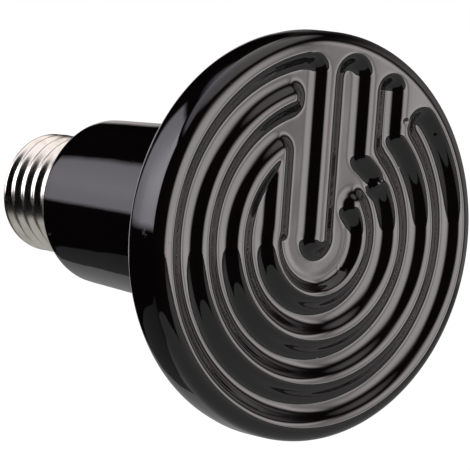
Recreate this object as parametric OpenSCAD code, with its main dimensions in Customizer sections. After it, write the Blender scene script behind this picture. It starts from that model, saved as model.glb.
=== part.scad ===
// Ceramic heat emitter: a glazed ceramic disc with a raised ridge pattern, on a
// tapering neck, in a metal screw cap.
// The lamp's axis lies along Y. The face looks towards -Y and the cap points to +Y.
// The pattern's straight fingers run upwards, along Z.
// The origin is the flat tip of the centre contact's solder.

/* [Disc] */
// Diameter of the disc
disc_d = 85; // [82:0.5:90]
// Height of the disc's side, from its rear edge to the face
disc_side_h = 11.6; // [10:0.2:14]
// How much smaller the radius of the rear edge is than the disc's
rear_edge_in = 1.4; // [1:0.1:2]
// Height over which the side widens from the rear edge
rear_edge_h = 3.2; // [2:0.1:5]
// Radius of the rounding between the side and the face
rim_round = 3.2; // [2.6:0.1:3.6]
// Slope of the disc's back, from the plane of the face
back_slope = 42; // [36:1:46]

/* [Neck] */
// Length of the body from the neck's rear end to the disc's rear edge
body_len = 61.5; // [58:0.5:70]
// Radius of the neck at its rear end
neck_rear_r = 18; // [17:0.1:19]
// Radius the neck would have at the disc's rear edge, which sets its taper
neck_front_r = 20.6; // [19.5:0.1:21.5]
// Radius of the hollow sweep between the neck and the disc's back
sweep_r = 16; // [10:0.5:20]
// Radius of the rounding at the neck's rear end
neck_round = 1.2; // [0.8:0.1:2]

/* [Spigot] */
// Radius of the spigot that sits in the cap
spigot_r = 10.6; // [9.5:0.1:11]
// Length of the spigot
spigot_len = 12; // [8:0.5:14]
// Chamfer at the spigot's end
spigot_chamfer = 0.8; // [0.4:0.1:1.2]

/* [Relief] */
// Depth of the grooves
relief_depth = 2.2; // [1.8:0.1:2.6]
// Distance from one ring ridge to the next
ring_pitch = 9.2; // [9:0.1:9.4]
// Flat width on the crest of a ring ridge
ring_crest_w = 0.5; // [0.4:0.1:0.8]
// Flat width on the floor of a ring groove
ring_floor_w = 0.4; // [0.2:0.1:0.8]
// Steepest angle of a groove's wall
wall_angle = 45; // [42:1:50]
// Radius of a crest's rounded edge
crest_round = 1.8; // [1.2:0.1:2.2]
// Radius of a straight groove's crest edge
straight_crest_round = 1.6; // [1.2:0.1:2.2]
// Flat width on the crest of the middle finger
finger_crest_w = 1.3; // [0.8:0.1:2]
// Height of the middle finger's round end above the axis
finger_end_y = 1.2; // [0:0.2:2.4]
// Width of the two troughs beside the middle finger
trough_w = 10.6; // [10:0.1:11]
// Flat width on the crest between the right trough and the side trough
side_crest_w = 1.1; // [0.8:0.1:2]
// Width of the side trough, which feeds the middle ring groove
side_trough_w = 9; // [8.8:0.1:9.6]
// Steepest angle of the outer wall round the middle finger's end
turn_wall_angle = 60; // [55:1:65]
// Width of that outer wall
turn_wall_w = 2.8; // [2.4:0.1:3.2]
// Clockwise angle from the top of the outer groove's right end
outer_end_angle = 47.5; // [46:0.5:56]
// How far the left trough's top end stays inside the outer groove's middle
corner_in = 0.3; // [0.2:0.05:0.4]
// How far the left trough's wide stretch ends below the middle groove's middle
trough_in = 1; // [0.8:0.1:1.2]
// Clockwise angle from the top at which the inner ridge's tip starts
inner_tip_angle = 53; // [50:1:60]

/* [Screw cap] */
// Length of the cap, from the neck's rear end to the contact's tip
cap_len = 26.5; // [26:0.1:28]
// Outer diameter of the thread's crests
thread_d = 26.2; // [26:0.05:26.4]
// Depth of the thread
thread_depth = 1; // [0.8:0.05:1.1]
// Pitch of the thread, seven turns to the inch
thread_pitch = 3.629; // [3.5:0.001:3.8]
// Length of the plain band at the shell's front
band_len = 4.4; // [3:0.1:5]
// Length over which the thread rises and fades
thread_fade = 1.8; // [1:0.1:2.5]
// Length of the shell
shell_len = 21.8; // [20.5:0.1:22.5]
// Thickness of the shell's sheet
shell_wall = 0.3; // [0.25:0.01:0.4]
// Length of the shell's turned-in end
lip_len = 2.4; // [2:0.1:3]
// Radius of the opening in the shell's turned-in end
lip_r = 10.5; // [9.8:0.1:10.8]
// Gap between the neck and the shell's front rim, filled with cement
shell_gap = 0.4; // [0.2:0.1:0.8]

/* [Insulator and contact] */
// Radius of the centre contact
contact_r = 4.75; // [4.4:0.05:5]
// Thickness of the contact's plate
contact_t = 0.5; // [0.4:0.05:0.8]
// Chamfer round the contact's edge
contact_chamfer = 0.3; // [0.2:0.05:0.4]
// Depth of the contact's rim in the insulator
contact_rim_h = 1.2; // [0.8:0.1:1.6]
// Radius of the hole in the contact
contact_hole_r = 1.1; // [0.9:0.05:1.4]
// Height of the solder above the contact's plate
solder_h = 0.6; // [0.4:0.1:0.9]
// Radius of the flat on top of the solder
solder_flat_r = 0.9; // [0.6:0.1:1.2]
// Radius of the solder where it meets the plate
solder_r = 2; // [1.5:0.1:2.4]
// Radius of the insulator's narrow end, round the contact
insulator_tip_r = 5.9; // [5.5:0.1:6.5]
// Depth of the insulator inside the shell's lip
insulator_in = 3; // [2:0.1:4]

/* [Leads and cement] */
// Radius of the lead wires
lead_r = 0.45; // [0.35:0.05:0.6]
// Depth of the leads in the spigot
lead_socket = 3; // [2:0.5:5]
// Distance of the shell's lead from the axis
shell_lead_x = 5; // [4:0.5:6]
// Radius of the bend in the shell's lead
lead_bend_r = 1.6; // [1.2:0.1:2.5]
// Depth of the cement in the shell
cement_len = 9; // [6:0.5:10]
// Radius of the solder spot on the shell's lead
spot_r = 1.2; // [1:0.1:1.5]
// Height of the solder spot
spot_h = 1.1; // [0.8:0.1:1.4]
// Clearance of pieces that seat on each other
seat = 0.05; // [0.02:0.01:0.1]

/* [Hidden] */
$fn = 96;
ring_steps = 3;
straight_steps = 5;
shell_sides = 36;
rows_per_turn = 10;
lip_rows = 6;
above = 5;

// Heights along the lamp's axis, counted from the contact's tip towards the face
neck_h = cap_len;
rear_edge_at = neck_h + body_len;
face_h = rear_edge_at + disc_side_h;
shell_rim_h = neck_h - shell_gap;
shell_end_h = shell_rim_h - shell_len;
spigot_end_h = neck_h - spigot_len;
plate_h = solder_h;

// The disc
disc_r = disc_d / 2;
rear_edge_r = disc_r - rear_edge_in;
rim_crest_r = disc_r - rim_round;

// The pattern: groove edges are where a crest's rounding starts
ring_half = (ring_pitch - ring_crest_w) / 2;
wall_w = ring_half - ring_floor_w / 2;
outer_ring_edge = rim_crest_r - ring_crest_w / 2;
ring_r = [for (k = [0:2]) outer_ring_edge - ring_half - k * ring_pitch];
inner_ridge_r = ring_r[2] - ring_half - ring_crest_w / 2;
finger_half = finger_crest_w / 2;
trough_half = trough_w / 2;
left_x = -finger_half - trough_half;
right_x = finger_half + trough_half;
narrow_x = finger_half + ring_half;
side_half = side_trough_w / 2;
side_x = right_x + trough_half + side_crest_w + side_half;
left_ridge_x = left_x - trough_half - ring_crest_w;
turn_r = inner_ridge_r - ring_crest_w / 2;
left_top_y = sqrt(pow(ring_r[0] - corner_in, 2) - pow(narrow_x, 2));
right_top_y = sqrt(pow(outer_ring_edge - trough_half, 2) - pow(right_x, 2));
side_top_y = sqrt(pow(ring_r[0], 2) - pow(side_x, 2));
side_bend_y = sqrt(pow(ring_r[1], 2) - pow(side_x, 2));
left_wide_top_y = ring_r[1] - trough_half - trough_in;
right_wide_low_y = turn_r * cos(inner_tip_angle) + trough_half * sin(inner_tip_angle);
hairpin_y = sqrt(pow(ring_r[2] + ring_half, 2) - pow(left_ridge_x, 2));

// The cap
thread_r = thread_d / 2;
lip_start = shell_len - lip_len;
lip_drop = thread_r - lip_r;
facet_fit = cos(180 / shell_sides);
band_inner_r = (thread_r - shell_wall) * facet_fit - seat;
root_inner_r = (thread_r - thread_depth - shell_wall) * facet_fit - seat;
shoulder_r = (lip_r + root_inner_r) / 2;
shoulder_rise = sqrt(1 - pow((shoulder_r - lip_r) / (lip_drop - shell_wall), 2));
shoulder_q = lip_start + (lip_len - shell_wall) * shoulder_rise - 2 * seat;
shoulder_h = shell_rim_h - shoulder_q;
lip_fit_r = lip_r * facet_fit - seat;

// Turns a piece modelled upwards along Z so that its top looks towards -Y
module on_axis() {
    rotate([90, 0, 0]) children();
}

// Points of a wall from its crest edge at 0 down to its floor, going outwards
function wall_points(w, depth, angle, crest, steps) =
    let (both = (w - depth / tan(angle)) / tan(angle / 2))
    let (floor_r = both - crest)
    concat(
        [for (k = [0:steps]) let (a = angle * k / steps)
            [crest * sin(a), crest * (cos(a) - 1)]],
        [for (k = [steps:-1:0]) let (a = angle * k / steps)
            [w - floor_r * sin(a), floor_r * (1 - cos(a)) - depth]]);

// The straight grooves' wall has its own rounding and steps, so that no edge of it
// meets an edge of a ring groove's wall at one height
function ring_wall() =
    wall_points(wall_w, relief_depth, wall_angle, crest_round, ring_steps);
function straight_wall() =
    wall_points(wall_w, relief_depth, wall_angle, straight_crest_round, straight_steps);
function turn_wall() =
    wall_points(turn_wall_w, relief_depth, turn_wall_angle, crest_round / 2, ring_steps);

// Half of a groove's section: its middle is at 0 and its edge at the given half width
module half_groove(half, wall = straight_wall()) {
    polygon(concat(
        [[0, above], [half, above]],
        [for (p = wall) [half - p[0], p[1]]],
        [[0, -relief_depth]]));
}

// Half of what a cut leaves standing for a ridge, from its middle to its foot
module half_ridge(half) {
    polygon(concat(
        [[0, -relief_depth - 1], [0, above + 1], [half, above + 1]],
        [for (p = straight_wall()) [half + p[0], p[1]]],
        [[half + wall_w, -relief_depth - 1]]));
}

// A ring groove's sector between two clockwise angles from the top
module ring_groove(r, from, to) {
    rotate([0, 0, 90 - to])
        rotate_extrude(angle = to - from)
            translate([r, 0]) {
                half_groove(ring_half, ring_wall());
                mirror([1, 0]) half_groove(ring_half, ring_wall());
            }
}

// The turned end of a groove: a sector of its half section about a point
module groove_turn(at, half, from, sweep, wall = straight_wall()) {
    translate([at[0], at[1], 0])
        rotate([0, 0, from])
            rotate_extrude(angle = sweep)
                half_groove(half, wall);
}

// A straight groove that runs upwards, from one height to another
module straight_groove(x, half, low, high) {
    translate([x, high, 0])
        rotate([90, 0, 0])
            linear_extrude(height = high - low) {
                half_groove(half);
                mirror([1, 0]) half_groove(half);
            }
}

// The middle finger's round lower end and the stretch of it that the turn passes
module finger_end() {
    translate([0, finger_end_y, 0]) {
        rotate([0, 0, 180]) rotate_extrude(angle = 180) half_ridge(finger_half);
        translate([0, turn_r, 0])
            rotate([90, 0, 0])
                linear_extrude(height = turn_r) {
                    half_ridge(finger_half);
                    mirror([1, 0]) half_ridge(finger_half);
                }
    }
}

// The floor that turns round the middle finger's end, inside the inner ridge
module finger_turn() {
    difference() {
        union() {
            rotate([0, 0, -180])
                rotate_extrude(angle = 270 - inner_tip_angle)
                    half_groove(turn_r, turn_wall());
            translate([0, finger_end_y, 0])
                rotate([90, 0, 0])
                    linear_extrude(height = finger_end_y)
                        mirror([1, 0]) half_groove(turn_r, turn_wall());
        }
        finger_end();
    }
}

// The straight ridge left of the left trough, kept clear of the inner ring groove
module left_ridge() {
    translate([left_ridge_x, hairpin_y + 2, 0])
        rotate([90, 0, 0])
            linear_extrude(height = hairpin_y + 2)
                mirror([1, 0])
                    translate([-trough_half, 0]) half_ridge(trough_half);
}

// Outer ring groove, from its right end round to the left trough
module outer_groove() {
    r = ring_r[0];
    ring_groove(r, outer_end_angle, 360 - asin(narrow_x / r));
    groove_turn([r * sin(outer_end_angle), r * cos(outer_end_angle)],
                ring_half, 90 - outer_end_angle, 180, ring_wall());
}

// Middle ring groove, fed by the side trough
module middle_groove() {
    r = ring_r[1];
    side_angle = asin(side_x / r);
    ring_groove(r, side_angle, 360 - asin(narrow_x / r));
    groove_turn([side_x, side_bend_y], side_half, 180, 90 - side_angle);
    straight_groove(side_x, side_half, side_bend_y, side_top_y);
    groove_turn([side_x, side_top_y], side_half, 0, 180);
}

// Inner ring groove, from the right trough round into the hairpin of two ridges
module inner_groove() {
    r = ring_r[2];
    difference() {
        ring_groove(r, asin(right_x / r), 360 - asin(-left_ridge_x / (r + ring_half)));
        left_ridge();
    }
}

// Left trough's narrow upper stretch, between the outer and the middle ring groove
module left_trough_top() {
    straight_groove(-narrow_x, ring_half, left_wide_top_y, left_top_y);
    groove_turn([-narrow_x, left_top_y], ring_half, 0, 180);
}

// Left trough's wide stretch, down to the middle finger's end
module left_trough() {
    straight_groove(left_x, trough_half, finger_end_y, left_wide_top_y);
    groove_turn([left_x, left_wide_top_y], trough_half, 0, 180);
}

// Right trough's wide stretch, down to the inner ridge's tip
module right_trough() {
    straight_groove(right_x, trough_half, right_wide_low_y, right_top_y);
    groove_turn([right_x, right_top_y], trough_half, 0, 180);
    groove_turn([right_x, right_wide_low_y], trough_half, 180, 180);
}

// Right trough's narrow stretch, between the middle finger and the inner ridge
module right_trough_low() {
    straight_groove(narrow_x, ring_half, finger_end_y, right_wide_low_y);
}

// All the grooves of the face, with the crests' level at height 0
module face_grooves() {
    outer_groove();
    middle_groove();
    inner_groove();
    left_trough_top();
    left_trough();
    right_trough();
    right_trough_low();
    finger_turn();
}

// Points of an arc about a centre, between two angles
function arc(c, r, from, to, steps) =
    [for (k = [0:steps]) let (a = from + (to - from) * k / steps) c + r * [cos(a), sin(a)]];

// The body's outline: spigot, neck, sweep, back, side and rim
module body_outline() {
    taper = atan((neck_front_r - neck_rear_r) / body_len);
    back_dir = [cos(back_slope), sin(back_slope)];
    back_end = [rear_edge_r, rear_edge_at];
    // The sweep touches the neck's line and the back's line
    neck_n = [cos(taper), -sin(taper)];
    back_n = [back_dir[1], -back_dir[0]];
    a = neck_n * [neck_rear_r, neck_h] + sweep_r;
    b = back_n * back_end + sweep_r;
    det = neck_n[0] * back_n[1] - neck_n[1] * back_n[0];
    sweep_c = [a * back_n[1] - b * neck_n[1], neck_n[0] * b - back_n[0] * a] / det;
    polygon(concat(
        [[0, spigot_end_h], [spigot_r - spigot_chamfer, spigot_end_h],
         [spigot_r, spigot_end_h + spigot_chamfer], [spigot_r, neck_h]],
        arc([neck_rear_r - neck_round, neck_h + neck_round], neck_round, -90, -taper, 6),
        arc(sweep_c, sweep_r, 180 - taper, 90 + back_slope, 14),
        [back_end,
         [disc_r - rear_edge_in / 3, rear_edge_at + rear_edge_h / 3],
         [disc_r, rear_edge_at + rear_edge_h]],
        arc([rim_crest_r, face_h - rim_round], rim_round, 0, 90, 8),
        [[0, face_h]]));
}

module ceramic_body() {
    color([0.05, 0.05, 0.06])
        on_axis()
            difference() {
                rotate_extrude() body_outline();
                translate([0, 0, face_h]) face_grooves();
                translate([0, 0, spigot_end_h]) cylinder(r = lead_r + seat, h = lead_socket);
                translate([shell_lead_x, 0, spigot_end_h])
                    cylinder(r = lead_r + seat, h = lead_socket);
            }
}

// Cement that fills the space between the spigot and the shell
module cap_cement() {
    band_low_h = shell_rim_h - band_len + seat;
    color([0.72, 0.70, 0.66])
        on_axis()
            rotate_extrude()
                polygon([
                    [spigot_r, neck_h],
                    [thread_r, neck_h],
                    [thread_r, shell_rim_h],
                    [band_inner_r, shell_rim_h],
                    [band_inner_r, band_low_h],
                    [root_inner_r, band_low_h],
                    [root_inner_r, shell_rim_h - cement_len + 1],
                    [spigot_r, shell_rim_h - cement_len]]);
}

// How much of the thread's depth is there, at a distance from the shell's rim
function rise(x) = let (t = min(1, max(0, x))) t * t * (3 - 2 * t);
function thread_share(q) =
    rise((q - band_len) / thread_fade) * rise((lip_start + thread_fade / 2 - q) / thread_fade);

// The shell's radius at a distance from its rim and an angle, before its sheet's wall
function thread_dip(q, a) =
    thread_depth / 2 * thread_share(q) * (1 - cos(a + 360 * q / thread_pitch));
function lip_radius(q, wall) =
    q <= lip_start ? thread_r - wall :
    lip_r + (lip_drop - wall) * sqrt(max(0, 1 - pow((q - lip_start) / (lip_len - wall), 2)));

// Distances from the rim at which the shell has a row of points
thread_rows = ceil((lip_start - band_len) / thread_pitch * rows_per_turn);
function shell_stations(wall) = concat(
    [0],
    [for (k = [0:thread_rows]) band_len + (lip_start - band_len) * k / thread_rows],
    [for (k = [1:lip_rows]) lip_start + (lip_len - wall) * sin(90 * k / lip_rows)]);

function shell_skin(wall) =
    [for (q = shell_stations(wall)) for (s = [0:shell_sides - 1])
        let (a = 360 * s / shell_sides)
        let (r = lip_radius(q, wall) - thread_dip(q, a))
        [r * cos(a), r * sin(a), shell_rim_h - q]];

module screw_shell() {
    outer = shell_skin(0);
    inner = shell_skin(shell_wall);
    rows = len(shell_stations(0));
    n = shell_sides;
    far = rows * n;
    last = (rows - 1) * n;
    skin = [for (r = [0:rows - 2]) for (s = [0:n - 1])
        [r * n + s, r * n + (s + 1) % n, (r + 1) * n + (s + 1) % n, (r + 1) * n + s]];
    outside = [for (f = skin) for (t = [[f[0], f[1], f[2]], [f[0], f[2], f[3]]]) t];
    inside = [for (t = outside) [t[0] + far, t[2] + far, t[1] + far]];
    front = [for (s = [0:n - 1]) for (t = [[s, s + far, (s + 1) % n + far],
                                           [s, (s + 1) % n + far, (s + 1) % n]]) t];
    back = [for (s = [0:n - 1]) for (t = [[s, (s + 1) % n + far, s + far],
                                          [s, (s + 1) % n, (s + 1) % n + far]])
            [for (i = t) i + last]];
    color([0.80, 0.79, 0.76])
        on_axis()
            polyhedron(points = concat(outer, inner),
                       faces = concat(outside, inside, front, back), convexity = 6);
}

// Black glass that closes the shell's end and carries the contact
module cap_insulator() {
    rim_r = contact_r + seat;
    color([0.06, 0.06, 0.07])
        on_axis()
            rotate_extrude()
                polygon([
                    [lead_r + 2 * seat, plate_h + contact_t],
                    [contact_r - contact_t - seat, plate_h + contact_t],
                    [contact_r - contact_t - seat, plate_h + contact_rim_h],
                    [rim_r, plate_h + contact_rim_h],
                    [rim_r, plate_h + contact_t],
                    [insulator_tip_r, plate_h + contact_t],
                    [lip_fit_r, shell_end_h],
                    [lip_fit_r, shoulder_h],
                    [shoulder_r, shoulder_h],
                    [shoulder_r, shoulder_h + insulator_in],
                    [lead_r + 2 * seat, shoulder_h + insulator_in - 1]]);
}

// Brass plate whose rim is pressed into the glass
module centre_contact() {
    color([0.78, 0.62, 0.30])
        on_axis()
            rotate_extrude()
                polygon([
                    [contact_hole_r, plate_h],
                    [contact_r - contact_chamfer, plate_h],
                    [contact_r, plate_h + contact_chamfer],
                    [contact_r, plate_h + contact_rim_h],
                    [contact_r - contact_t, plate_h + contact_rim_h],
                    [contact_r - contact_t, plate_h + contact_t],
                    [contact_hole_r, plate_h + contact_t]]);
}

// Bead of solder over the contact's hole, pressed flat at its tip
module contact_solder() {
    color([0.70, 0.70, 0.72])
        on_axis()
            rotate_extrude()
                polygon(concat(
                    [[lead_r, 0]],
                    arc([solder_flat_r, plate_h], solder_h, -90, -30, 4),
                    [[solder_r, plate_h], [contact_hole_r, plate_h],
                     [contact_hole_r, plate_h + contact_t], [lead_r, plate_h + contact_t]]));
}

// Straight wire from the spigot to the contact
module centre_lead() {
    color([0.62, 0.60, 0.58])
        on_axis()
            cylinder(r = lead_r, h = spigot_end_h + lead_socket);
}

// Wire from the spigot that bends out to the shell's wall
module shell_lead() {
    bend_h = spigot_end_h - 1;
    tip_x = root_inner_r - seat;
    color([0.62, 0.60, 0.58])
        on_axis() {
            translate([shell_lead_x, 0, bend_h])
                cylinder(r = lead_r, h = lead_socket + 1);
            translate([shell_lead_x + lead_bend_r, 0, bend_h])
                rotate([90, 0, 0])
                    rotate([0, 0, 180])
                        rotate_extrude(angle = 90)
                            translate([lead_bend_r, 0]) circle(r = lead_r);
            translate([shell_lead_x + lead_bend_r, 0, bend_h - lead_bend_r])
                rotate([0, 90, 0])
                    cylinder(r = lead_r, h = tip_x - shell_lead_x - lead_bend_r);
        }
}

// Spot of solder that holds the wire's end to the shell
module shell_solder() {
    tip_x = root_inner_r - seat;
    color([0.70, 0.70, 0.72])
        on_axis()
            translate([tip_x, 0, spigot_end_h - 1 - lead_bend_r])
                rotate([0, -90, 0])
                    rotate_extrude()
                        polygon([[lead_r, 0], [spot_r, 0], [spot_r - seat, spot_h / 2],
                                 [lead_r + 2 * seat, spot_h], [lead_r, spot_h]]);
}

ceramic_body();
cap_cement();
screw_shell();
cap_insulator();
centre_contact();
contact_solder();
centre_lead();
shell_lead();
shell_solder();
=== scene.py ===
"""Looks of a ceramic heat emitter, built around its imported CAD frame."""

import math

import bpy
import numpy as np
from mathutils import Matrix, Vector


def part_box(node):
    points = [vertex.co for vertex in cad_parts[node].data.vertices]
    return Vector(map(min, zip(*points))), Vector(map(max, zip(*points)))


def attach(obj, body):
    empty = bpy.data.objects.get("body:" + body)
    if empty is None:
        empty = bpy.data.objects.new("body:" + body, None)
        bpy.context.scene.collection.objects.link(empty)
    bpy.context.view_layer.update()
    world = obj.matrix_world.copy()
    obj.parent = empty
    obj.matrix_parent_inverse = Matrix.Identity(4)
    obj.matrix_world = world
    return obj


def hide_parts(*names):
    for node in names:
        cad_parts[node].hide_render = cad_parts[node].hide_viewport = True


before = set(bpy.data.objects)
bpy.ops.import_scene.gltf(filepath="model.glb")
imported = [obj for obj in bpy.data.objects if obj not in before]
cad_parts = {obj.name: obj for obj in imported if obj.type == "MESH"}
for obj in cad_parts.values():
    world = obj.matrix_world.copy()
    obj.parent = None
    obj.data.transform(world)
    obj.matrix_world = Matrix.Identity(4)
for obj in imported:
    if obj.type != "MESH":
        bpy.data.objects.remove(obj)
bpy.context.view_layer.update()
mm = 0.001

# Camera: it stands to the left of the face and a little above the axis, well back, with
# a long lens, so the disc shows almost no perspective.
camera_right = Vector((0.77391, -0.62935, 0.07062))
camera_up = Vector((0.0, 0.11151, 0.99376))
camera_back = Vector((-0.63330, -0.76908, 0.08630))
camera_at = Vector((-533.9, -719.9, 70.4)) * mm
camera_data = bpy.data.cameras.new("camera")
camera_data.sensor_width = 36
camera_data.lens = 306.4
camera = bpy.data.objects.new("camera", camera_data)
turn = Matrix((camera_right, camera_up, camera_back)).transposed().to_4x4()
camera.matrix_world = Matrix.Translation(camera_at) @ turn
bpy.context.scene.collection.objects.link(camera)
bpy.context.scene.camera = camera


# Ceramic body: the disc, its ridges, the neck and the spigot in the cap are one piece of
# fired clay with the heating wire inside. The ridges are pressed in a mould, then the
# whole body is dipped in black glaze, which rounds every edge and fires to a deep gloss.
body_low, body_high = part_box("ceramic_body")
disc_r = body_high.z / mm
face_h = -body_low.y / mm
spigot_end_h = -body_high.y / mm
disc_side_h = 11.6
rear_edge_in = 1.4
rear_edge_h = 3.2
rim_round = 3.2
back_slope = math.radians(42)
neck_h = 26.5
neck_rear_r = 18
neck_front_r = 20.6
neck_round = 1.2
sweep_r = 16
spigot_r = 10.6
spigot_chamfer = 0.8
rear_edge_at = face_h - disc_side_h
rim_crest_r = disc_r - rim_round

relief_depth = 2.2
ring_pitch = 9.2
crest_w = 0.5
wall_w = 4.15
wall_angle = math.radians(45)
crest_round = 1.8
turn_wall_w = 2.8
turn_wall_angle = math.radians(60)
finger_half = 0.65
finger_end_z = 1.2
trough_half = 5.3
side_crest_w = 1.1
side_half = 4.1
outer_end_angle = 47.5
inner_tip_angle = 53
left_shoulder = 1
left_top_in = 0.3
ridge_past_hairpin = 2
steep_fade = 1.5
steep_fade_angle = 25
ring_half = (ring_pitch - crest_w) / 2
ring_r = [rim_crest_r - crest_w / 2 - ring_half - k * ring_pitch for k in range(3)]
turn_r = ring_r[2] - ring_half - crest_w
left_x = -finger_half - trough_half
right_x = finger_half + trough_half
narrow_x = finger_half + ring_half
side_x = right_x + trough_half + side_crest_w + side_half
left_ridge_x = left_x - trough_half - crest_w

relief_step = 0.2
steps_out = math.ceil((disc_r + 1) / relief_step)
relief_line = np.arange(-steps_out, steps_out + 1) * relief_step
relief_x, relief_z = np.meshgrid(relief_line, relief_line)
relief_r = np.hypot(relief_x, relief_z)
relief_turn = np.degrees(np.arctan2(relief_x, relief_z)) % 360
OUTSIDE = -9.0


def wall_depth(inside, width, angle, crest):
    """Depth of a groove at a distance inside its edge: round crest, slope, round foot."""
    foot = (width - relief_depth / math.tan(angle)) / math.tan(angle / 2) - crest
    t = np.clip(inside, 0, width)
    crest_end = crest * math.sin(angle)
    foot_start = width - foot * math.sin(angle)
    slope = crest * (1 - math.cos(angle)) + (t - crest_end) * math.tan(angle)
    round_crest = crest - np.sqrt(np.maximum(crest**2 - t**2, 0))
    round_foot = relief_depth - foot + np.sqrt(np.maximum(foot**2 - (width - t) ** 2, 0))
    return np.where(t < crest_end, round_crest, np.where(t > foot_start, round_foot, slope))


def ring_groove(r, start, stop):
    """How far inside a ring groove each point is, between two clockwise angles."""
    there = (relief_turn >= start) & (relief_turn <= stop)
    return np.where(there, ring_half - abs(relief_r - r), OUTSIDE)


def straight_groove(x, half, low, high):
    """How far inside an upright groove with round ends each point is."""
    past = np.maximum(low - relief_z, 0) + np.maximum(relief_z - high, 0)
    return half - np.hypot(relief_x - x, past)


def degrees_of(opposite, hypotenuse):
    """Angle from upright at which a ring lies a distance to the side."""
    return math.degrees(math.asin(opposite / hypotenuse))


def leg(hypotenuse, other):
    """Height at which a ring lies a distance to the side."""
    return math.sqrt(hypotenuse**2 - other**2)


outer_end = math.radians(outer_end_angle)
left_wide_top = ring_r[1] - trough_half - left_shoulder
right_wide_low = turn_r * math.cos(math.radians(inner_tip_angle)) + trough_half * math.sin(
    math.radians(inner_tip_angle)
)
hairpin_z = leg(ring_r[2] + ring_half, left_ridge_x)
inner_groove = ring_groove(
    ring_r[2],
    degrees_of(right_x, ring_r[2]),
    360 - degrees_of(-left_ridge_x, ring_r[2] + ring_half),
)
left_ridge_there = (
    (relief_z >= 0) & (relief_z <= hairpin_z + ridge_past_hairpin) & (relief_x < 0)
)
beside_left_ridge = np.where(left_ridge_there, left_ridge_x - relief_x, wall_w)
grooves = [
    ring_groove(ring_r[0], outer_end_angle, 360 - degrees_of(narrow_x, ring_r[0])),
    straight_groove(
        ring_r[0] * math.sin(outer_end),
        ring_half,
        ring_r[0] * math.cos(outer_end),
        ring_r[0] * math.cos(outer_end),
    ),
    ring_groove(
        ring_r[1], degrees_of(side_x, ring_r[1]), 360 - degrees_of(narrow_x, ring_r[1])
    ),
    straight_groove(side_x, side_half, leg(ring_r[1], side_x), leg(ring_r[0], side_x)),
    np.minimum(inner_groove, beside_left_ridge),
    straight_groove(
        -narrow_x, ring_half, left_wide_top, leg(ring_r[0] - left_top_in, narrow_x)
    ),
    straight_groove(left_x, trough_half, finger_end_z, left_wide_top),
    straight_groove(
        right_x,
        trough_half,
        right_wide_low,
        leg(rim_crest_r - crest_w / 2 - trough_half, right_x),
    ),
    straight_groove(narrow_x, ring_half, finger_end_z, right_wide_low),
]

# The floor that turns round the middle finger's end, inside the inner ridge
turn_inside = np.where(
    (relief_turn >= inner_tip_angle) & (relief_turn <= 270), turn_r - relief_r, OUTSIDE
)
turn_strip = (relief_z >= 0) & (relief_z <= finger_end_z) & (relief_x < 0)
turn_inside = np.where(turn_strip, turn_r + relief_x, turn_inside)
finger_gap = -straight_groove(0, finger_half, finger_end_z, finger_end_z + turn_r)
grooves.append(np.minimum(turn_inside, finger_gap))


def gap_to_crests(inside):
    """Distance of each point from the nearest crest, so that walls bend round its ends."""
    from_crest = np.where(inside <= 0, inside, np.inf)
    cells = math.ceil((wall_w + crest_w) / relief_step)
    padded = np.pad(from_crest, cells, constant_values=np.inf)
    gap = np.full_like(inside, wall_w)
    rows, columns = inside.shape
    for down in range(2 * cells + 1):
        for along in range(2 * cells + 1):
            far = math.hypot(down - cells, along - cells) * relief_step
            if far <= cells * relief_step:
                there = padded[down : down + rows, along : along + columns]
                np.minimum(gap, there + far, out=gap)
    return np.maximum(gap, 0)


crest_gap = gap_to_crests(np.max(grooves, axis=0))
face_depth = wall_depth(crest_gap, wall_w, wall_angle, crest_round)
steep_depth = wall_depth(crest_gap, turn_wall_w, turn_wall_angle, crest_round / 2)
steep_there = (relief_turn > inner_tip_angle) & (relief_turn < 270) & (relief_r < turn_r)
steep_share = np.clip((relief_r - (turn_r - wall_w)) / steep_fade, 0, 1) * steep_there
steep_share *= np.clip((relief_turn - inner_tip_angle) / steep_fade_angle, 0, 1)
face_depth += (steep_depth - face_depth) * steep_share

rim_over = np.clip(relief_r - rim_crest_r, 0, rim_round)
rim_depth = rim_round - np.sqrt(rim_round**2 - rim_over**2)
face_depth = np.maximum(face_depth, rim_depth)

# The glaze runs together in the corners, which a short blur of the relief gives
glaze_blur = 0.3
blur_reach = 5
taps = np.arange(-blur_reach, blur_reach + 1)
weights = np.exp(-((taps * relief_step / glaze_blur) ** 2) / 2)
weights /= weights.sum()
for axis in (0, 1):
    face_depth = sum(w * np.roll(face_depth, int(k), axis) for k, w in zip(taps, weights))

# Small faults of the firing: a crumb stuck beside the inner ridge and three nicks, each
# with its place, its reach and its height
faults = [
    (14.6, 10.8, 1.3, 0.9),
    (7, -6.7, 0.4, -0.3),
    (20.7, 24.4, 0.5, -0.3),
    (30, 22.5, 0.5, -0.35),
]
for at_x, at_z, reach, height in faults:
    from_fault = np.hypot(relief_x - at_x, relief_z - at_z) / reach
    ripple = 1 + 0.25 * np.sin(relief_x * 5) * np.sin(relief_z * 6)
    face_depth -= height * ripple * np.exp(-(from_fault**2))
face_depth = np.maximum(face_depth, 0)


def face_depth_at(x, z):
    """The relief's depth at places between the blurred grid's points."""
    column = (x - relief_line[0]) / relief_step
    row = (z - relief_line[0]) / relief_step
    c, r = column.astype(int), row.astype(int)
    u, v = column - c, row - r
    low = face_depth[r, c] * (1 - u) + face_depth[r, c + 1] * u
    high = face_depth[r + 1, c] * (1 - u) + face_depth[r + 1, c + 1] * u
    return low * (1 - v) + high * v


def arc_points(middle, r, start, stop, count):
    """Points of an arc in the outline's plane of radius and height."""
    return [
        (middle[0] + r * math.cos(a), middle[1] + r * math.sin(a))
        for a in np.linspace(start, stop, count)
    ]


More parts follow.
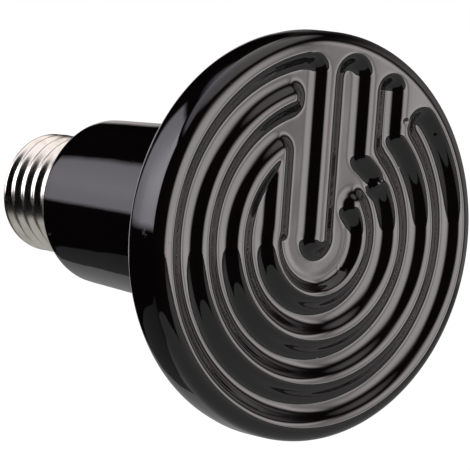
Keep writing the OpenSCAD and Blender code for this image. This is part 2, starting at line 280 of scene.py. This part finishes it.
def body_outline():
    """Radius and height of the outline from the rim's round to the spigot's end."""
    taper = math.atan2(neck_front_r - neck_rear_r, rear_edge_at - neck_h)
    back_end = (disc_r - rear_edge_in, rear_edge_at)
    neck_normal = np.array((math.cos(taper), -math.sin(taper)))
    back_normal = np.array((math.sin(back_slope), -math.cos(back_slope)))
    middle = np.linalg.solve(
        np.array((neck_normal, back_normal)),
        np.array((neck_normal @ (neck_rear_r, neck_h), back_normal @ back_end)) + sweep_r,
    )
    right_angle = math.pi / 2
    return np.array(
        arc_points((rim_crest_r, face_h - rim_round), rim_round, rim_join, 0, round_points)
        + [(disc_r, rear_edge_at + rear_edge_h)]
        + [(disc_r - rear_edge_in / 3, rear_edge_at + rear_edge_h / 3), back_end]
        + arc_points(middle, sweep_r, right_angle + back_slope, math.pi - taper, sweep_points)
        + arc_points(
            (neck_rear_r - neck_round, neck_h + neck_round),
            neck_round,
            -taper,
            -right_angle,
            round_points,
        )
        + [(spigot_r, neck_h), (spigot_r, spigot_end_h + spigot_chamfer)]
        + [(spigot_r - spigot_chamfer, spigot_end_h)]
    )


def softened(points, step, blur):
    """The outline with its corners rounded by the glaze, at even steps."""
    lengths = np.r_[0, np.cumsum(np.hypot(*np.diff(points, axis=0).T))]
    along = np.arange(0, lengths[-1], step)
    even = np.array([np.interp(along, lengths, points[:, k]) for k in (0, 1)]).T
    reach = math.ceil(3 * blur / step)
    kernel = np.exp(-((np.arange(-reach, reach + 1) * step / blur) ** 2) / 2)
    kernel /= kernel.sum()
    first, last = even[0], even[-1]
    before = first + (first - even[1]) * np.arange(reach, 0, -1)[:, None]
    after = last + (last - even[-2]) * np.arange(1, reach + 1)[:, None]
    padded = np.vstack((before, even, after))
    return np.array([np.convolve(padded[:, k], kernel, "valid") for k in (0, 1)]).T


def thinned(points, most_turn, most_length):
    """The points that a smooth line needs: close in its bends and far on its flats."""
    kept, turned, walked = [points[0]], 0, 0
    for before, here, after in zip(points[:-2], points[1:-1], points[2:]):
        a, b = here - before, after - here
        turned += abs(math.atan2(a[0] * b[1] - a[1] * b[0], a @ b))
        walked += math.hypot(*a)
        if turned > most_turn or walked > most_length:
            kept.append(here)
            turned, walked = 0, 0
    return np.array(kept + [points[-1]])


def ringed_object(name, rings, ends=None):
    """An object whose skin runs through rings of points, in millimetres.

    It closes on the two points given as ends, or else joins its last ring to its first.
    """
    rings = np.asarray(rings, float)
    count, around = rings.shape[:2]
    here = np.arange(count * around).reshape(count, around)
    beside = np.roll(here, -1, axis=1)
    points = rings.reshape(-1, 3)
    if ends is None:
        onward, onward_beside = np.roll(here, -1, axis=0), np.roll(beside, -1, axis=0)
        faces = np.stack((here, beside, onward_beside, onward), -1).reshape(-1, 4).tolist()
    else:
        faces = np.stack((here[:-1], beside[:-1], beside[1:], here[1:]), -1)
        faces = faces.reshape(-1, 4).tolist()
        start, stop = len(points), len(points) + 1
        faces += [(start, b, a) for a, b in zip(here[0].tolist(), beside[0].tolist())]
        faces += [(a, b, stop) for a, b in zip(here[-1].tolist(), beside[-1].tolist())]
        points = np.vstack((points, ends))
    mesh = bpy.data.meshes.new(name)
    mesh.from_pydata((points * mm).tolist(), [], faces)
    mesh.polygons.foreach_set("use_smooth", [True] * len(mesh.polygons))
    mesh.update()
    made = bpy.data.objects.new(name, mesh)
    bpy.context.scene.collection.objects.link(made)
    return made


# Columns stand closest where the straight grooves cross the rings
busy_half = 44
busy_columns = 221
calm_columns = 246
busy_angles = np.linspace(-busy_half, busy_half, busy_columns)
calm_angles = np.linspace(busy_half, 360 - busy_half, calm_columns + 2)[1:-1]
body_angles = np.radians(np.r_[busy_angles, calm_angles])
rim_join = math.radians(60)
face_edge_r = rim_crest_r + rim_round * math.cos(rim_join)
face_rows = 150
round_points = 8
sweep_points = 30
outline_step = 0.1
outline_blur = 0.35
outline_turn = math.radians(7)
outline_length = 3


def ring_at(r, height):
    """A ring of points round the axis, clockwise as seen from the face."""
    return np.stack(
        (r * np.sin(body_angles), np.full_like(body_angles, -height), r * np.cos(body_angles)),
        -1,
    )


rings = []
for r in np.linspace(0, face_edge_r, face_rows + 1)[1:]:
    ring = ring_at(r, face_h)
    ring[:, 1] += face_depth_at(ring[:, 0], ring[:, 2])
    rings.append(ring)
outline = softened(body_outline(), outline_step, outline_blur)
outline = thinned(outline, outline_turn, outline_length)
rings += [ring_at(r, height) for r, height in outline[1:]]
body = ringed_object(
    "ceramic_body_glazed",
    rings,
    ends=[(0, -face_h + face_depth[steps_out, steps_out], 0), (0, -spigot_end_h, 0)],
)


class Value:
    """A shader socket that plain Python sums can be written with."""

    def __init__(self, finish, socket):
        self.finish = finish
        self.socket = socket

    def output(self, name):
        """Another output of the same node."""
        return Value(self.finish, self.socket.node.outputs[name])

    def maths(self, operation, first, second):
        return self.finish.maths(operation, first, second)

    def __add__(self, other):
        return self.maths("ADD", self, other)

    def __sub__(self, other):
        return self.maths("SUBTRACT", self, other)

    def __rsub__(self, other):
        return self.maths("SUBTRACT", other, self)

    def __mul__(self, other):
        return self.maths("MULTIPLY", self, other)

    def __pow__(self, other):
        return self.maths("POWER", self, other)

    __radd__ = __add__
    __rmul__ = __mul__


class Finish:
    """A material, or else a world, whose nodes all come from one method."""

    def __init__(self, name, world=None):
        self.material = world or bpy.data.materials.new(name)
        self.material.use_nodes = True
        self.tree = self.material.node_tree
        self.tree.nodes.clear()
        self.where = self.node("ShaderNodeTexCoord", {}, {}, "Object")

    def maths(self, operation, first, second):
        return self.node("ShaderNodeMath", {"operation": operation}, [first, second])

    def node(self, kind, settings, inputs, output=0):
        """A node with its settings and its sockets' values or links; gives one output."""
        made = self.tree.nodes.new(kind)
        for name, setting in settings.items():
            if name == "stops":
                stops = made.color_ramp.elements
                for k, (place, colour) in enumerate(setting):
                    stop = stops[k] if k < 2 else stops.new(place)
                    stop.position = place
                    stop.color = (*colour, 1)
            else:
                setattr(made, name, setting)
        pairs = enumerate(inputs) if isinstance(inputs, list) else inputs.items()
        usable = [s for s in made.inputs if s.enabled]
        for name, given in pairs:
            found = usable[name] if isinstance(name, int) else None
            found = found or next(s for s in usable if s.name == name)
            if isinstance(given, Value):
                self.tree.links.new(given.socket, found)
            elif isinstance(given, tuple) and len(given) == 3 and found.type == "RGBA":
                found.default_value = (*given, 1)
            else:
                found.default_value = given
        outputs = [s for s in made.outputs if s.enabled]
        if isinstance(output, str):
            return Value(self, next(s for s in outputs if s.name == output))
        return Value(self, outputs[output])

    def noise(self, size, detail=2, stretch=(1, 1, 1)):
        """Cloudy noise whose blotches have a size in millimetres."""
        stretched = self.node(
            "ShaderNodeVectorMath", {"operation": "MULTIPLY"}, [self.where, stretch]
        )
        return self.node(
            "ShaderNodeTexNoise",
            {},
            {"Vector": stretched, "Scale": 1 / (size * mm), "Detail": detail},
            "Fac",
        )

    def between(self, value, low, high, start=0.0, stop=1.0):
        """The value's range from low to high, spread smoothly from start to stop."""
        return self.node(
            "ShaderNodeMapRange",
            {"interpolation_type": "SMOOTHSTEP"},
            {
                "Value": value,
                "From Min": low,
                "From Max": high,
                "To Min": start,
                "To Max": stop,
            },
        )

    def blend(self, share, first, second):
        return self.node(
            "ShaderNodeMix",
            {"data_type": "RGBA"},
            {"Factor": share, "A": first, "B": second},
        )

    def bump(self, height, distance):
        """Normals of a height from 0 to 1 that stands for a distance in millimetres."""
        return self.node("ShaderNodeBump", {}, {"Height": height, "Distance": distance * mm})

    def curve(self, value, stops):
        """A value by straight lines between stops, which each are (given, made)."""
        first, last = stops[0][0], stops[-1][0]
        share = self.node(
            "ShaderNodeMapRange", {}, {"Value": value, "From Min": first, "From Max": last}
        )
        ramp = [((given - first) / (last - first), (made,) * 3) for given, made in stops]
        return self.node("ShaderNodeValToRGB", {"stops": ramp}, [share])

    def output(self, shader, kind="ShaderNodeOutputMaterial"):
        out = self.tree.nodes.new(kind)
        self.tree.links.new(shader.socket, out.inputs["Surface"])
        return self.material

    def done(self, sockets):
        return self.output(self.node("ShaderNodeBsdfPrincipled", {}, sockets))


glaze = Finish("black glaze")
long_waves = glaze.noise(14, detail=1)
short_waves = glaze.noise(3.5, detail=2)
pinholes = glaze.node(
    "ShaderNodeTexVoronoi",
    {"feature": "F1"},
    {"Vector": glaze.where, "Scale": 1 / (5 * mm)},
    "Distance",
)
pinhole = glaze.between(pinholes, 0.02, 0.07, 1, 0)
glaze_height = long_waves + short_waves * 0.06 - pinhole * 0.05
glaze_shade = glaze.blend(
    glaze.noise(9, detail=3), (0.0030, 0.0022, 0.0022), (0.0060, 0.0048, 0.0045)
)

# Two chips, on the disc's side and on the neck, where pale clay shows through the glaze
chips = [((-41.8, -94.8, 0.7), 1.3), ((-16.3, -28.8, -6.7), 0.8)]
for spot, reach in chips:
    from_spot = glaze.node(
        "ShaderNodeVectorMath",
        {"operation": "DISTANCE"},
        [glaze.where, tuple(v * mm for v in spot)],
        "Value",
    )
    crackle = glaze.between(glaze.noise(0.45, detail=2), 0.53, 0.58)
    chip = glaze.between(from_spot, reach * 0.5 * mm, reach * mm, 1, 0) * crackle
    glaze_shade = glaze.blend(chip, glaze_shade, (0.16, 0.15, 0.14))
    pinhole = pinhole + chip
body.data.materials.append(
    glaze.done(
        {
            "Base Color": glaze_shade,
            "Roughness": 0.035 + glaze.noise(2.2, detail=3) * 0.03 + pinhole * 0.2,
            "IOR": 1.52,
            "Normal": glaze.bump(glaze_height, 0.12),
        }
    )
)
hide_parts("ceramic_body")
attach(body, "root")


# Screw shell: thin brass sheet rolled into a round thread and turned in at its end,
# then plated with nickel. It is cemented and crimped on the spigot.
shell_low, shell_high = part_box("screw_shell")
shell_rim_h = -shell_low.y / mm
shell_end_h = -shell_high.y / mm
shell_len = shell_rim_h - shell_end_h
thread_r = shell_high.z / mm
thread_depth = 1
thread_pitch = 3.629
thread_fade = 1.8
band_len = 4.4
lip_len = 2.4
lip_r = 10.5
shell_wall = 0.3
lip_start = shell_len - lip_len


def rise(x):
    """A smooth rise from 0 to 1."""
    t = np.clip(x, 0, 1)
    return t * t * (3 - 2 * t)


def shell_ring(q, wall, angles):
    """A ring of the shell's skin at a distance from its rim."""
    share = rise((q - band_len) / thread_fade) * rise(
        (lip_start + thread_fade / 2 - q) / thread_fade
    )
    around = math.pi / 2 - angles + 2 * math.pi * q / thread_pitch
    r = np.full_like(angles, thread_r - wall)
    if q > lip_start:
        fall = (q - lip_start) / (lip_len - wall)
        r[:] = lip_r + (thread_r - lip_r - wall) * math.sqrt(max(0, 1 - fall**2))
    r -= thread_depth / 2 * share * (1 - np.cos(around))
    along = np.full_like(angles, q - shell_rim_h)
    return np.stack((r * np.sin(angles), along, r * np.cos(angles)), -1)


shell_column_angle = 2.5
thread_rows = 120
lip_rows = 14


def shell_skin(wall):
    """Rings of the shell's outer skin, or of its inner one at the wall's depth."""
    angles = np.radians(np.arange(0, 360, shell_column_angle))
    straight = np.linspace(0, lip_start, thread_rows)
    bends = np.radians(np.linspace(0, 90, lip_rows)[1:])
    lip = lip_start + (lip_len - wall) * np.sin(bends)
    return [shell_ring(q, wall, angles) for q in np.r_[straight, lip]]


shell = ringed_object("screw_shell_nickel", shell_skin(0) + shell_skin(shell_wall)[::-1])
nickel = Finish("nickel plate")
rolling = nickel.noise(0.5, detail=3, stretch=(1, 14, 1))
smear = nickel.noise(4, detail=3)
tarnish = nickel.between(smear, 0.45, 0.75)
nickel_shade = nickel.blend(tarnish, (0.82, 0.785, 0.72), (0.66, 0.61, 0.53))
shell.data.materials.append(
    nickel.done(
        {
            "Base Color": nickel_shade,
            "Metallic": 1.0,
            "Roughness": 0.13 + smear * 0.10 + rolling * 0.05,
            "Normal": nickel.bump(rolling, 0.01),
        }
    )
)
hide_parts("screw_shell")
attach(shell, "root")


# Cap cement: a gritty white paste that fills the space between spigot and shell and
# shows as a thin line where the shell meets the neck.
cement = Finish("cap cement")
grit = cement.noise(0.4, detail=4)
cement_paste = cement.done(
    {
        "Base Color": cement.blend(grit, (0.34, 0.32, 0.29), (0.62, 0.60, 0.56)),
        "Roughness": 0.8 + grit * 0.15,
        "Normal": cement.bump(grit, 0.08),
    }
)


def dress(node, material):
    """Give a piece of the frame its material."""
    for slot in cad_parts[node].material_slots:
        slot.material = material


dress("cap_cement", cement_paste)

# Cap insulator: black glass poured into the shell's end, which keeps the shell apart
# from the contact in its middle.
glass = Finish("black glass")
flow = glass.noise(2.5, detail=2)
black_glass = glass.done(
    {
        "Base Color": glass.blend(flow, (0.006, 0.006, 0.008), (0.014, 0.012, 0.015)),
        "Roughness": 0.12 + flow * 0.12,
        "IOR": 1.52,
        "Normal": glass.bump(flow, 0.05),
    }
)
dress("cap_insulator", black_glass)

# Centre contact: a stamped brass plate with its rim pressed into the glass.
brass = Finish("contact brass")
brass_stain = brass.noise(1.6, detail=4)
contact_brass = brass.done(
    {
        "Base Color": brass.blend(
            brass.between(brass_stain, 0.35, 0.7), (0.72, 0.50, 0.21), (0.42, 0.27, 0.11)
        ),
        "Metallic": 1.0,
        "Roughness": 0.22 + brass_stain * 0.2,
        "Normal": brass.bump(brass.noise(0.3, detail=3), 0.01),
    }
)
dress("centre_contact", contact_brass)

# Solder: dull tin beads over the contact's hole and on the shell's lead, each frozen
# with a slightly wrinkled skin.
tin = Finish("solder")
wrinkle = tin.noise(0.5, detail=3)
solder = tin.done(
    {
        "Base Color": tin.blend(wrinkle, (0.42, 0.42, 0.43), (0.66, 0.66, 0.66)),
        "Metallic": 1.0,
        "Roughness": 0.3 + wrinkle * 0.2,
        "Normal": tin.bump(wrinkle, 0.03),
    }
)
dress("contact_solder", solder)
dress("shell_solder", solder)

# Leads: drawn resistance wire, browned by the heat, from the ceramic to the contact
# and to the shell.
wire = Finish("lead wire")
drawn = wire.noise(0.3, detail=2, stretch=(1, 0.1, 1))
lead_wire = wire.done(
    {
        "Base Color": wire.blend(drawn, (0.30, 0.27, 0.24), (0.50, 0.48, 0.45)),
        "Metallic": 1.0,
        "Roughness": 0.35 + drawn * 0.15,
    }
)
dress("centre_lead", lead_wire)
dress("shell_lead", lead_wire)


# Floor and background: a white sweep well below the object, as in a product shot where
# it hangs free. It burns out to white for the camera and is a soft grey in the glaze.
def studio_white(name, plain):
    """A matt white surface that the camera sees brighter by a plain amount."""
    finish = Finish(name)
    seen = finish.node("ShaderNodeLightPath", {}, {}, "Is Camera Ray")
    glow = finish.node("ShaderNodeEmission", {}, {"Color": (1, 1, 1), "Strength": seen * plain})
    matt = finish.node("ShaderNodeBsdfDiffuse", {}, {"Color": (0.8, 0.8, 0.8)})
    return finish.output(finish.node("ShaderNodeAddShader", {}, [glow, matt]))


floor_mesh = bpy.data.meshes.new("floor")
floor_half = 6
floor_z = -0.22
floor_mesh.from_pydata(
    [(x, y, floor_z) for x, y in ((-1, -1), (1, -1), (1, 1), (-1, 1))], [], [(0, 1, 2, 3)]
)
floor = bpy.data.objects.new("floor", floor_mesh)
floor.scale = (floor_half, floor_half, 1)
bpy.context.scene.collection.objects.link(floor)
floor_mesh.materials.append(studio_white("white floor", 0.82))

# The room is white where it is seen or mirrored, and dim as a light
room_dim = 0.28
room = bpy.data.worlds.new("studio")
bpy.context.scene.world = room
walls = Finish("studio", room)
camera_ray = walls.node("ShaderNodeLightPath", {}, {}, "Is Camera Ray")
glossy_ray = camera_ray.output("Is Glossy Ray")
through_ray = camera_ray.output("Is Transmission Ray")
bright = walls.maths("MAXIMUM", walls.maths("MAXIMUM", camera_ray, glossy_ray), through_ray)
level = room_dim + bright * (1 - room_dim)
background = walls.node("ShaderNodeBackground", {}, {"Color": (1, 1, 1), "Strength": level})
walls.output(background, "ShaderNodeOutputWorld")


# Studio lamps: a wide soft box in front on the right and a smaller one behind on the
# left give plain soft light.
face_middle = Vector((0, -face_h * mm, 0))


def aim(azimuth, elevation):
    """Direction at an angle to the right of the face's normal and one above level."""
    a, e = math.radians(azimuth), math.radians(elevation)
    return Vector((math.sin(a) * math.cos(e), -math.cos(a) * math.cos(e), math.sin(e)))


def soft_box(name, azimuth, elevation, distance, side, brightness):
    """A soft box whose brightness is in times white."""
    towards = aim(azimuth, elevation)
    lamp = bpy.data.lights.new(name, "AREA")
    lamp.size = side
    lamp.energy = brightness * math.pi * side**2
    holder = bpy.data.objects.new(name, lamp)
    holder.location = face_middle + towards * distance
    holder.rotation_euler = towards.to_track_quat("Z", "Y").to_euler()
    holder.visible_glossy = False
    bpy.context.scene.collection.objects.link(holder)


soft_box("front soft box", 15, 20, 0.9, 0.7, 2.5)
soft_box("rear soft box", -157, 25, 0.7, 0.4, 2.5)


# Cards: the glaze mirrors little but a tent of black velvet with a tall soft box in front
# on the right, one behind on the left, a white wall far behind and a white ceiling, black
# cloths on the floor, and a grey patch on the floor behind that is painted shade. They
# stand out of the picture and keep no light off the object.
front_level, rear_level, wall_level, ceiling_level = 6.5, 4.5, 1.1, 1.2

# Each stop is an angle in degrees and the share of the level there
front_across = [
    (-24, 0), (-16, 0.45), (-8, 0.9), (0, 1), (25, 1), (33, 0.8), (37, 0.5), (38.8, 0.43),
    (40, 0.5), (41.2, 0.65), (42.5, 0.9), (44.5, 1), (47, 0.75), (50, 0.3), (53, 0.02),
    (59, 0.02), (64, 0.15), (75, 0.14), (90, 0.085), (105, 0.05), (120, 0.027),
    (135, 0.018), (145, 0),
]
front_upright = [
    (-12, 0.8), (-9, 1.05), (-4, 0.95), (0, 0.9), (10, 0.9), (15, 0.87), (20, 0.85),
    (25, 0.73), (30, 0.6), (35, 0.42), (40, 0.15), (45, 0.03), (50, 0),
]
rear_across = [
    (-167, 0), (-162, 0.32), (-152, 0.42), (-146, 0.55), (-138, 0.85), (-130, 0.95),
    (-112, 1), (-108, 0),
]
rear_upright = [(-3, 0), (0, 0.75), (6, 0.82), (15, 1), (36, 1), (38, 0)]
wall_across = [(-178, 1), (-172, 0), (140, 0), (150, 1)]
wall_upright = [(12, 1), (18, 0)]
loft_across = [(-95, 1), (-80, 0), (135, 0), (150, 1)]
loft_upright = [(42, 0), (47, 1)]
ceiling_upright = [(54, 0), (62, 1)]


def card_light(finish):
    """Colour and brightness, in times white, of the tent by its direction from the face."""
    middle = finish.node(
        "ShaderNodeVectorMath", {"operation": "SUBTRACT"}, [finish.where, tuple(face_middle)]
    )
    parts = finish.node("ShaderNodeSeparateXYZ", {}, [middle])
    x, y, z = parts, parts.output("Y"), parts.output("Z")
    flat = (x * x + y * y) ** 0.5
    azimuth = finish.maths("ARCTAN2", x, y * -1) * math.degrees(1)
    elevation = finish.maths("ARCTAN2", z, flat) * math.degrees(1)
    front = finish.curve(azimuth, front_across) * finish.curve(elevation, front_upright)
    rear = finish.curve(azimuth, rear_across) * finish.curve(elevation, rear_upright)
    wall = finish.curve(azimuth, wall_across) * finish.curve(elevation, wall_upright)
    loft = finish.curve(azimuth, loft_across) * finish.curve(elevation, loft_upright)
    ceiling = finish.curve(elevation, ceiling_upright)
    warm, cool = (1, 0.93, 0.935), (0.98, 0.94, 1.03)
    tint = finish.blend(finish.between(azimuth, -100, -60), cool, warm)
    white = wall * wall_level + finish.maths("MAXIMUM", loft, ceiling) * ceiling_level
    return {"Color": tint, "Strength": front * front_level + rear * rear_level + white}


tent_cloth = Finish("tent cards")
tent_cloth.output(tent_cloth.node("ShaderNodeEmission", {}, card_light(tent_cloth)))
velvet = Finish("black velvet")
velvet.output(velvet.node("ShaderNodeBsdfDiffuse", {}, {"Color": (0.001, 0.001, 0.001)}))
# Painted floor shade: a grey sheet that only the glaze sees, which darkens the mirrored floor
# behind the object
painted_floor_shade = Finish("painted floor shade")
painted_floor_shade.output(painted_floor_shade.node("ShaderNodeBsdfDiffuse", {}, {"Color": (0.2, 0.2, 0.2)}))


def card(name, points, material):
    """A card through rows of points that only reflections show."""
    rows, columns = len(points), len(points[0])
    here = np.arange(rows * columns).reshape(rows, columns)
    faces = np.stack((here[:-1, :-1], here[:-1, 1:], here[1:, 1:], here[1:, :-1]), -1)
    mesh = bpy.data.meshes.new(name)
    corners = [tuple(point) for row in points for point in row]
    mesh.from_pydata(corners, [], faces.reshape(-1, 4).tolist())
    mesh.materials.append(material)
    made = bpy.data.objects.new(name, mesh)
    bpy.context.scene.collection.objects.link(made)
    for ray in ("camera", "diffuse", "transmission", "volume_scatter", "shadow"):
        setattr(made, "visible_" + ray, False)


tent_r = 1.3
tent_azimuths = np.linspace(-180, 180, 73)
tent_elevations = np.linspace(-12, 90, 34)
card(
    "tent",
    [[face_middle + aim(a, e) * tent_r for a in tent_azimuths] for e in tent_elevations],
    tent_cloth.material,
)
ring_lift = 0.002
ring_z = floor_z + ring_lift - face_middle.z


def floor_ring(name, near, far, start, stop, material):
    """A ring laid on the floor between two distances and two azimuths, of black cloth or of
    painted floor shade.
    """
    angles = np.radians(np.linspace(start, stop, 24))
    card(
        name,
        [
            [face_middle + Vector((r * math.sin(a), -r * math.cos(a), ring_z)) for a in angles]
            for r in (near, far)
        ],
        material,
    )


# The grey ring behind is painted shade on the floor, seen only in the glaze
floor_ring("painted floor shade behind", 0.21, 0.4, -185, -115, painted_floor_shade.material)
floor_ring("black cloth behind", 0.4, tent_r, -185, -115, velvet.material)
floor_ring("black cloth beside", 0.29, tent_r, -115, -15, velvet.material)

bpy.context.scene.view_settings.view_transform = "Standard"
